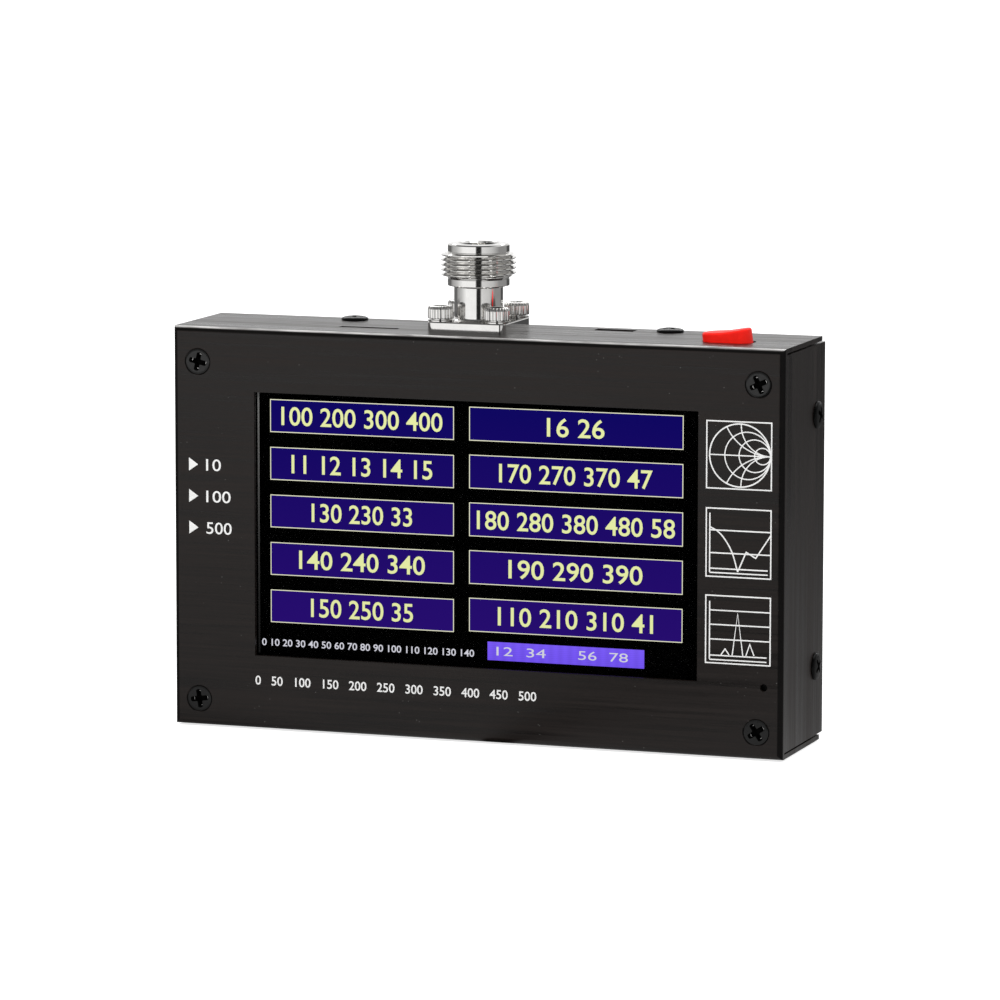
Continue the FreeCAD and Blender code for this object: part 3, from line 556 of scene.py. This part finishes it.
def jack_bolts():
    """Cap screws, each with a washer, knurled head and hexagon socket. Heights count from the flange's foot."""
    shank, washer, head, socket, head_top, count = 1.45, 2.6, 2.70, 1.44, 5.5, 240
    bm = bmesh.new()
    for sx in (-1, 1):
        for sy in (-1, 1):
            start = len(bm.verts)
            rings = rings_of(bm, [
                (shank - 0.20, -6.4), (shank, -6.1), (shank, FLANGE_T), (washer - 0.08, FLANGE_T),
                (washer, 2.25), (washer, 2.50), (washer - 0.08, 2.55), (2.0, 2.58), (2.0, 2.78),
                (head - 0.20, 2.80)], count)
            rings += rings_of(bm, [
                (head - 0.02, 2.84), (head, 2.95), (head, 3.05), (head, 4.75), (head - 0.01, 4.90),
                (head - 0.08, 5.14), (head - 0.22, 5.34)], count, knurl)
            rings += rings_of(bm, [(2.20, 5.47), (1.98, head_top), (socket + 0.08, head_top)], count)
            rings += rings_of(bm, [(socket, head_top - 0.06), (socket, 3.9), (0.6, 3.6)], count, hex_round)
            skin(bm, rings)
            moved(bm, start, Matrix.Translation(JACK + Vector((sx * BOLT, sy * BOLT, 0)))
                  @ Matrix.Rotation(math.radians(13 * sx + 29 * sy), 4, "Z"))
    mesh_of("jack_bolts", bm, [looks["nickel"]], replaces=("jack_screws",), sharp=24)


jack_shell()
jack_tip()
jack_bolts()

# Rocker

ROCK = Matrix.Translation((52.6, -3.9, 84.0))
REST_TILT = Matrix.Rotation(math.radians(-7), 4, "Y")
CAP_L, CAP_T, CAP_END, CAP_ROUND, CAP_FOOT = 10.4, 6.2, 2.7, 0.55, -1.45
VALLEY_Z, VALLEY_RISE, VALLEY_EASE = 4.18, math.radians(3.3), 0.4
PIN_R, PIN_L, PIN_EDGE = 0.85, 3.55, 0.1


def cap_plan(inset, count=10):
    """The cap seen from above: a rectangle with well rounded ends, pulled in by inset."""
    half_x, half_y = CAP_L / 2 - inset, CAP_T / 2 - inset
    r = max(CAP_END - inset, 0.15)
    points = []
    for k in range(4):
        cx = (half_x - r) * (1 if k in (0, 3) else -1)
        cy = (half_y - r) * (1 if k in (0, 1) else -1)
        for i in range(count + 1):
            a = QUARTER * (k + i / count)
            points.append((cx + r * math.cos(a), cy + r * math.sin(a)))
        if k in (0, 2):
            sign = 1 if k == 0 else -1
            for i in range(1, 16):
                points.append(((half_x - r) * sign * (1 - i / 8), cy + r * sign))
    return points


def cap_top(x):
    """Height of the V-shaped top above the pivot, with its valley eased."""
    return VALLEY_Z + math.tan(VALLEY_RISE) * (math.hypot(x, VALLEY_EASE) - VALLEY_EASE)


def rocker_red():
    arc_steps, top_steps, spine, hollow = 6, 9, 0.25, 0.05
    bm = bmesh.new()
    rings = [[bm.verts.new((x, y, CAP_FOOT)) for x, y in cap_plan(0.0)]]
    for k in range(arc_steps + 1):
        a = QUARTER * k / arc_steps
        inset, drop = CAP_ROUND * (1 - math.cos(a)), CAP_ROUND * (1 - math.sin(a))
        rings.append([bm.verts.new((x, y, cap_top(x) - drop)) for x, y in cap_plan(inset)])
    for k in range(1, top_steps):
        share = 1 - k / top_steps
        along = spine + (1 - spine) * share
        rings.append([bm.verts.new((x * along, y * share, cap_top(x * along) - hollow * (1 - share)))
                      for x, y in cap_plan(CAP_ROUND)])
    skin(bm, rings)
    moved(bm, 0, ROCK @ REST_TILT)
    start = len(bm.verts)
    skin(bm, rings_of(bm, [(PIN_R - PIN_EDGE, -PIN_L), (PIN_R, PIN_EDGE - PIN_L), (PIN_R, PIN_L - PIN_EDGE),
                           (PIN_R - PIN_EDGE, PIN_L)], 32))
    moved(bm, start, ROCK @ TO_FRONT)
    mesh_of("rocker_red", bm, [looks["red_cap"]], body="rocker", replaces=("rocker_cap",),
            sharp=40)


rocker_red()

# Flat marks, in planes that face the front


def strip(bm, points, width, level, closed=False, index=0):
    """A flat line of even width through points in the X-Z plane, with mitred corners."""
    n = len(points)
    left, right = [], []
    for i, (x, z) in enumerate(points):
        before = points[i - 1] if (i > 0 or closed) else None
        after = points[(i + 1) % n] if (i < n - 1 or closed) else None
        tangents = []
        for a, b in ((before, (x, z)), ((x, z), after)):
            if a and b:
                d = Vector((b[0] - a[0], b[1] - a[1]))
                if d.length > 1e-6:
                    tangents.append(d.normalized())
        t = sum(tangents, Vector((0, 0)))
        t = t.normalized() if t.length > 1e-6 else tangents[0]
        normal = Vector((-t.y, t.x))
        cosine = max(0.45, abs(normal.dot(Vector((-tangents[0].y, tangents[0].x)))))
        off = normal * (width / 2 / cosine)
        left.append(bm.verts.new((x + off.x, level, z + off.y)))
        right.append(bm.verts.new((x - off.x, level, z - off.y)))
    for i in range(n if closed else n - 1):
        j = (i + 1) % n
        bm.faces.new((left[i], left[j], right[j], right[i])).material_index = index


def patch(bm, x0, x1, z0, z1, level, tilt=0.0, index=0):
    """A flat four-sided area. Its upper and lower edges rise by tilt for each millimetre to the right."""
    corners = [(x0, z0), (x1, z0), (x1, z1), (x0, z1)]
    face = bm.faces.new([bm.verts.new((x, level, z + tilt * (x - x0))) for x, z in corners])
    face.material_index = index


def numerals(bm, text, height, left, base, level, width, bold=0.0, tilt=0.0, index=0):
    """Plain numerals as flat faces: left and base give the first one's foot, width fits the whole line."""
    curve = bpy.data.curves.new("line", "FONT")
    curve.body = text
    curve.size = 1.0
    curve.offset = bold
    curve.resolution_u = 4
    holder = bpy.data.objects.new("line", curve)
    bpy.context.scene.collection.objects.link(holder)
    bpy.context.view_layer.update()
    flat = bpy.data.meshes.new_from_object(holder)
    bpy.data.objects.remove(holder)
    bpy.data.curves.remove(curve)
    xs = [v.co.x for v in flat.vertices]
    ys = [v.co.y for v in flat.vertices]
    up = height / (max(ys) - min(ys))
    along = width / (max(xs) - min(xs))
    verts = []
    for v in flat.vertices:
        x = (v.co.x - min(xs)) * along
        verts.append(bm.verts.new((left + x, level, base + (v.co.y - min(ys)) * up + tilt * x)))
    for polygon in flat.polygons:
        bm.faces.new([verts[k] for k in polygon.vertices]).material_index = index
    bpy.data.meshes.remove(flat)


# Printed marks on the face

PRINT_Y, LAYER = -15.003, 0.0015
LINE = 0.28
FRAME_L, FRAME_R = 51.3, 65.3
FRAMES = ((70.65, 56.6), (52.4, 38.1), (34.1, 19.9))    # upper and lower edge of each frame


def layer(k):
    """Depth of the k-th layer of ink. Marks that cross lie in different layers."""
    return PRINT_Y - LAYER * k


def in_frame(k, points):
    """Points given as shares of the k-th frame's width and height."""
    high, low = FRAMES[k]
    return [(FRAME_L + u * (FRAME_R - FRAME_L), low + v * (high - low)) for u, v in points]


def arc_points(cx, cy, r, a0, a1, n):
    angles = [a0 + (a1 - a0) * i / n for i in range(n + 1)]
    return [(cx + r * math.cos(a), cy + r * math.sin(a)) for a in angles]


def smoothed(knots, steps=6):
    """A curve that passes through knots and bends evenly between them."""
    points = []
    for i in range(len(knots) - 1):
        near = (knots[max(i - 1, 0)], knots[i], knots[i + 1], knots[min(i + 2, len(knots) - 1)])
        for k in range(steps):
            t = k / steps
            points.append(tuple(0.5 * (2 * b + (c - a) * t + (2 * a - 5 * b + 4 * c - d) * t * t
                                       + (3 * b - a - 3 * c + d) * t ** 3) for a, b, c, d in zip(*near)))
    return points + [knots[-1]]


def circle_chart(bm):
    """Circles that meet at the right, with their level line and four arcs that also end there."""
    (left, middle), (right, _) = in_frame(0, [(0.045, 0.5), (0.985, 0.5)])
    big = (right - left) / 2
    cx = left + big
    strip(bm, arc_points(cx, middle, big, 0, TAU, 96)[:-1], LINE * 1.05, layer(1), True)
    for k, share in enumerate((0.28, 0.50, 0.74)):
        r = (right - in_frame(0, [(share, 0.5)])[0][0]) / 2
        strip(bm, arc_points(right - r, middle, r, 0, TAU, 72)[:-1], LINE * 0.85, layer(2 + k), True)
    strip(bm, [(left, middle), (right, middle)], LINE * 0.9, layer(5))
    for k, degrees in enumerate((116, 88)):
        a = math.radians(degrees)
        foot = Vector((cx + big * math.cos(a), middle + big * math.sin(a)))
        chord = Vector((right, middle)) - foot
        r = chord.length_squared / (2 * abs(chord.y))
        a0 = math.atan2(foot.y - middle - r, foot.x - right)
        if a0 > 0:
            a0 -= TAU
        curve = arc_points(right, middle + r, r, a0, -QUARTER, 40)
        for sign in (1, -1):
            half = [(x, middle + sign * (z - middle)) for x, z in curve]
            strip(bm, half, LINE * 0.85, layer(7 + sign + 2 * k))


def chart_grid(bm, k, axis, top, foot, rows, width):
    """The k-th frame's upright axis, and its level lines as pairs of height and right end."""
    strip(bm, in_frame(k, [(axis, top), (axis, foot)]), LINE, layer(1))
    for v, u in rows:
        strip(bm, in_frame(k, [(axis, v), (u, v)]), width, layer(2))


def line_chart(bm):
    """A falling curve and a saw line over a grid."""
    meet = (0.49, 0.08)
    chart_grid(bm, 1, 0.055, 0.93, 0.06, ((0.681, 1.0), (0.347, 1.0), (0.118, 0.954), (0.056, 0.954)), LINE)
    falling = smoothed([(0.055, 0.727), (0.19, 0.655), (0.305, 0.529), (0.407, 0.349), meet])
    strip(bm, in_frame(1, falling), LINE, layer(3))
    strip(bm, in_frame(1, [meet, (0.62, 0.376), (0.768, 0.294), (1.0, 0.639)]), LINE, layer(1))


def peak_chart(bm):
    """Three peaks over a grid."""
    chart_grid(bm, 2, 0.06, 0.917, 0.055,
               ((0.783, 1.0), (0.571, 1.0), (0.354, 1.0), (0.114, 0.946), (0.05, 0.946)), LINE * 0.95)
    for peak in (((0.236, 0.12), (0.303, 0.216), (0.366, 0.13)),
                 ((0.414, 0.125), (0.496, 0.746), (0.579, 0.125)),
                 ((0.626, 0.13), (0.686, 0.30), (0.752, 0.135))):
        strip(bm, in_frame(2, peak), LINE * 0.9, layer(3))


def face_marks():
    """Three framed charts, pointers with numerals at the left, and a row of numerals under the window."""
    pointer_x, pointer_tip, pointer_half = -64.45, -62.35, 1.42
    bm = bmesh.new()
    for high, low in FRAMES:
        strip(bm, [(FRAME_L, low), (FRAME_R, low), (FRAME_R, high), (FRAME_L, high)], LINE, PRINT_Y, True)
    circle_chart(bm)
    line_chart(bm)
    peak_chart(bm)
    for z, text, wide in ((56.4, "10", 3.4), (49.6, "100", 5.6), (42.8, "500", 5.8)):
        bm.faces.new([bm.verts.new((x, PRINT_Y, z + rise)) for x, rise in (
            (pointer_x, -pointer_half), (pointer_tip, 0), (pointer_x, pointer_half))])
        numerals(bm, text, 2.55, -60.5, z - 1.3, PRINT_Y, wide, bold=0.004)
    numerals(bm, "0   50   100   150   200   250   300   350   400   450   500", 2.0, -49.4, 9.45, PRINT_Y,
             63.5, bold=0.012)
    mesh_of("face_marks", bm, [ink()], smooth=False)


face_marks()

# Display


def touch_glass():
    """The touch film as a block in the CAD panel's place, with eased edges."""
    bm = bmesh.new()
    low, high = ([c / MM for c in corner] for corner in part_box("touch_panel"))
    plate = bmesh.ops.create_cube(bm, size=1.0)["verts"]
    bmesh.ops.scale(bm, vec=[b - a for a, b in zip(low, high)], verts=plate)
    bmesh.ops.translate(bm, vec=[(a + b) / 2 for a, b in zip(low, high)], verts=plate)
    bmesh.ops.bevel(bm, geom=list(bm.edges), offset=0.15, segments=2, affect="EDGES")
    mesh_of("touch_glass", bm, [looks["touch_film"]], replaces=("touch_panel",), sharp=30)


def film_edge():
    """A painted highlight: a pale strip at the film's left edge, just in front of it, for the glint along that
    edge.
    """
    bm = bmesh.new()
    patch(bm, -49.36, -48.95, 16.1, 72.4, -13.215)
    mesh_of("film_edge", bm, [painted_edge_glint()], smooth=False)


# The lit picture lies on the cell's front, behind the film. SHIFT carries each place that was read from the
# photo through the film to where it lies on the cell, and the slopes are the rise of its level lines.
LIT_Y = -11.83
BORDER_Y, TEXT_Y, BAR_TEXT_Y = LIT_Y - 0.004, LIT_Y - 0.008, LIT_Y - 0.005
SHIFT_X, SHIFT_Z = -0.19, -0.08
SLOPE, SCALE_SLOPE = 0.0055 * 0.3, 0.0055 * 0.4
TEXT = linear(234, 240, 170)
BLUE, CREAM, BORDER, VIOLET, WHITE = range(5)
ROWS_LEFT = (("100 200 300 400", 0.88), ("11 12 13 14 15", 0.77), ("130 230 33", 0.55), ("140 240 340", 0.69),
             ("150 250 35", 0.56))
ROWS_RIGHT = (("16 26", 0.27), ("170 270 370 47", 0.72), ("180 280 380 480 58", 0.93), ("190 290 390", 0.63),
              ("110 210 310 41", 0.73))


def menu_box(bm, left, right, low, high, text, share):
    """One framed box with its numerals, which take up a share of its width."""
    rise = SLOPE * (right - left)
    patch(bm, left, right, low, high, LIT_Y, SLOPE, BLUE)
    edge = [(left, low), (right, low + rise), (right, high + rise), (left, high)]
    strip(bm, edge, 0.18, BORDER_Y, True, BORDER)
    wide = (right - left) * share
    numerals(bm, text, 4.05, (left + right - wide) / 2, low + 1.45, TEXT_Y, wide, 0.010, SLOPE, CREAM)


def lit_picture():
    """Two columns of framed boxes, and under them a scale and a bar."""
    bm = bmesh.new()
    for x0, x1, top, low, pitch, rows in ((-46.75, -5.35, 70.72, 63.82, 10.25, ROWS_LEFT),
                                          (-1.77, 45.35, 70.95, 63.93, 10.17, ROWS_RIGHT)):
        for k, (text, share) in enumerate(rows):
            drop = SHIFT_Z - k * pitch
            menu_box(bm, x0 + SHIFT_X, x1 + SHIFT_X, low + drop, top + drop, text, share)
    numerals(bm, "0 10 20 30 40 50 60 70 80 90 100 110 120 130 140", 1.55, -48.9 + SHIFT_X, 17.6 + SHIFT_Z,
             LIT_Y, 48.2, 0.012, SCALE_SLOPE, WHITE)
    patch(bm, 2.3 + SHIFT_X, 37.1 + SHIFT_X, 17.25 + SHIFT_Z, 21.2 + SHIFT_Z, LIT_Y, SLOPE, VIOLET)
    for text, x, z in (("12  34", 4.3, 18.3), ("56  78", 22.5, 18.4)):
        numerals(bm, text, 1.9, x + SHIFT_X, z + SHIFT_Z, BAR_TEXT_Y, 11.0, index=WHITE)
    mesh_of("lit_picture", bm, [
        glow("lit_blue", linear(40, 14, 112), linear(16, 8, 98), 20, 70, 0.012),
        glow("lit_cream", tone(TEXT, 0.95), TEXT, 20, 70, 0.015),
        glow("lit_border", linear(228, 228, 200), linear(236, 236, 206), 20, 70, 0.015),
        glow("lit_violet", linear(112, 82, 236), linear(122, 92, 245), 17, 22, 0.10, 2.1 * MM),
        glow("lit_white", linear(205, 205, 215), linear(215, 215, 225), 15, 22, 0.04)],
        smooth=False)


touch_glass()
film_edge()
lit_picture()

# Camera and lamps, in metres

CAMERA_AT = Vector((0.41074244, -1.17741549, 0.22165374))
RIGHT = Vector((0.94431473, 0.32904064, 0.00139271))
TOP = Vector((-0.04625674, 0.12855939, 0.99062243))
AHEAD = Vector((-0.32577599, 0.93552378, -0.13662088))
camera = bpy.data.objects.new("camera", bpy.data.cameras.new("camera"))
camera.data.sensor_width = 36
camera.data.lens = 213.035
camera.data.clip_end = 50
camera.matrix_world = Matrix((
    (RIGHT.x, TOP.x, -AHEAD.x, CAMERA_AT.x), (RIGHT.y, TOP.y, -AHEAD.y, CAMERA_AT.y),
    (RIGHT.z, TOP.z, -AHEAD.z, CAMERA_AT.z), (0, 0, 0, 1)))
scene = bpy.context.scene
scene.collection.objects.link(camera)
scene.camera = camera
scene.view_settings.view_transform = "Standard"
AIM = Vector((0, 0, 0.045))


def lamp(name, at, power, size, mirror=True):
    """A soft box at the place at that faces AIM. Without mirror it isn't seen in reflections."""
    light = bpy.data.lights.new(name, "AREA")
    light.energy = power
    light.shape = "RECTANGLE"
    light.size, light.size_y = size
    thing = bpy.data.objects.new(name, light)
    thing.location = at
    thing.rotation_euler = (AIM - Vector(at)).to_track_quat("-Z", "Y").to_euler()
    thing.visible_glossy = mirror
    scene.collection.objects.link(thing)


lamp("key", (-0.75, -0.95, 0.95), 9.0, (0.8, 0.7), mirror=False)
lamp("fill", (1.15, -0.75, 0.75), 6.5, (0.6, 0.6), mirror=False)
lamp("overhead", (0.0, 0.15, 1.25), 4.0, (1.2, 0.8))
lamp("rim_strip", (-0.50, 1.42, 1.0), 5.5, (1.9, 0.24))

# The room round the object, as a mirror sees it: stops are pairs of an angle in degrees and a brightness.
# Angle 0 is towards the viewer, and it grows to the left. TABLE is the far floor, CLOTH the near floor and
# SKY what stands above them.
CAMERA_SIDE = math.atan2(-AHEAD.y, -AHEAD.x)
TABLE = ((-180, 0.22), (-150, 0.07), (-134, 0.07), (-124, 0.27), (-82, 0.28), (-52, 0.58), (-13, 0.74),
         (-8, 0.02), (9, 0.02), (12, 1.0), (60, 1.0), (88, 0.56), (112, 0.40), (128, 0.12), (150, 0.16),
         (180, 0.22))
CLOTH = ((-180, 0.45), (-150, 0.30), (-134, 0.30), (-124, 0.25), (-60, 0.45), (-15, 0.55), (-9, 0.03),
         (10, 0.03), (15, 0.50), (76, 0.50), (98, 0.2), (150, 0.4), (180, 0.45))
SKY = ((-180, 1.0), (-150, 0.8), (-124, 0.25), (-60, 0.22), (-46, 0.35), (-15, 0.25), (-9, 0.03),
       (10, 0.03), (15, 0.30), (60, 0.30), (98, 0.22), (150, 0.8), (180, 1.0))


def room_of(s, x, y, stops):
    """Brightness of the room by direction, as a colour socket."""
    turned = s.math("SUBTRACT", CAMERA_SIDE, s.math("ARCTAN2", y, x))
    wrapped = s.add("Math", {0: turned, 1: math.pi, 2: -math.pi}, operation="WRAP").outputs[0]
    at = s.math("ADD", s.math("DIVIDE", wrapped, TAU), 0.5)
    shade = s.add("ValToRGB", {"Fac": at})
    elements = shade.color_ramp.elements
    while len(elements) > 1:
        elements.remove(elements[-1])
    elements[0].position = 0.0
    elements[0].color = grey(stops[0][1])
    for degrees, level in stops[1:]:
        elements.new(degrees / 360 + 0.5).color = grey(level)
    return shade.outputs[0]


class WorldShade(Shade):
    """The same short calls on the world's node tree."""

    def __init__(self, world):
        world.use_nodes = True
        self.tree = world.node_tree
        self.tree.nodes.clear()


def studio():
    """White to the camera, the room to mirrors and glass, and an even soft light to all else."""
    soft_light, zenith_light = 0.65, 0.62
    scene.world = bpy.data.worlds.new("studio")
    w = WorldShade(scene.world)
    x, y, z = w.axes(w.add("TexCoord").outputs["Generated"])
    level = room_of(w, x, y, SKY)
    behind = w.ramp(y, -0.15, 0.35, 0.10, 0.75)
    lofty = w.ramp(z, 0.25, 0.60)
    zenith = w.ramp(z, 0.93, 0.97)
    upper = w.add("CombineColor", {0: behind, 1: behind, 2: behind}).outputs[0]
    room = w.blend(zenith, w.blend(lofty, level, upper), grey(zenith_light))
    to_camera, to_mirror = w.rays()
    shown = w.mixed(to_mirror, w.light("Background", grey(1), soft_light), w.light("Background", room))
    shown = w.mixed(to_camera, shown, w.light("Background", grey(1)))
    w.add("OutputWorld", {"Surface": shown})


def floor_white():
    """White with the object's shadow to the camera, pale paper to its light, and the room to mirrors."""
    lift = 0.74
    s = Shade("floor_white")
    x, y, _ = s.axes(s.place())
    far, close = room_of(s, x, y, TABLE), room_of(s, x, y, CLOTH)
    away = s.add("VectorMath", {0: s.place()}, operation="LENGTH").outputs["Value"]
    front_far, back_far = s.ramp(away, 0.38, 0.50), s.ramp(away, 0.05, 0.45)
    behind = s.ramp(y, -0.02, 0.03)
    share = s.math("ADD", s.product(back_far, behind), s.product(front_far, s.math("SUBTRACT", 1.0, behind)))
    room = s.light("Emission", s.blend(share, close, far))
    paper = s.blend(s.noise(s.place(), 30.0), grey(0.60), grey(0.62))
    diffuse = s.add("BsdfDiffuse", {"Color": paper}).outputs[0]
    bright = s.add("AddShader", {0: diffuse, 1: s.light("Emission", grey(1), lift)}).outputs[0]
    to_camera, to_mirror = s.rays()
    return s.surface(s.mixed(to_mirror, s.mixed(to_camera, diffuse, bright), room))


def floor_sheet():
    """A level sheet just under the object."""
    half, gap = 9.0, 0.4 * MM
    bm = bmesh.new()
    bmesh.ops.create_grid(bm, x_segments=8, y_segments=8, size=half)
    mesh = bpy.data.meshes.new("floor")
    bm.to_mesh(mesh)
    bm.free()
    mesh.materials.append(floor_white())
    floor = bpy.data.objects.new("floor", mesh)
    floor.location = (0, 0, -gap)
    scene.collection.objects.link(floor)


studio()
floor_sheet()

bpy.context.view_layer.update()
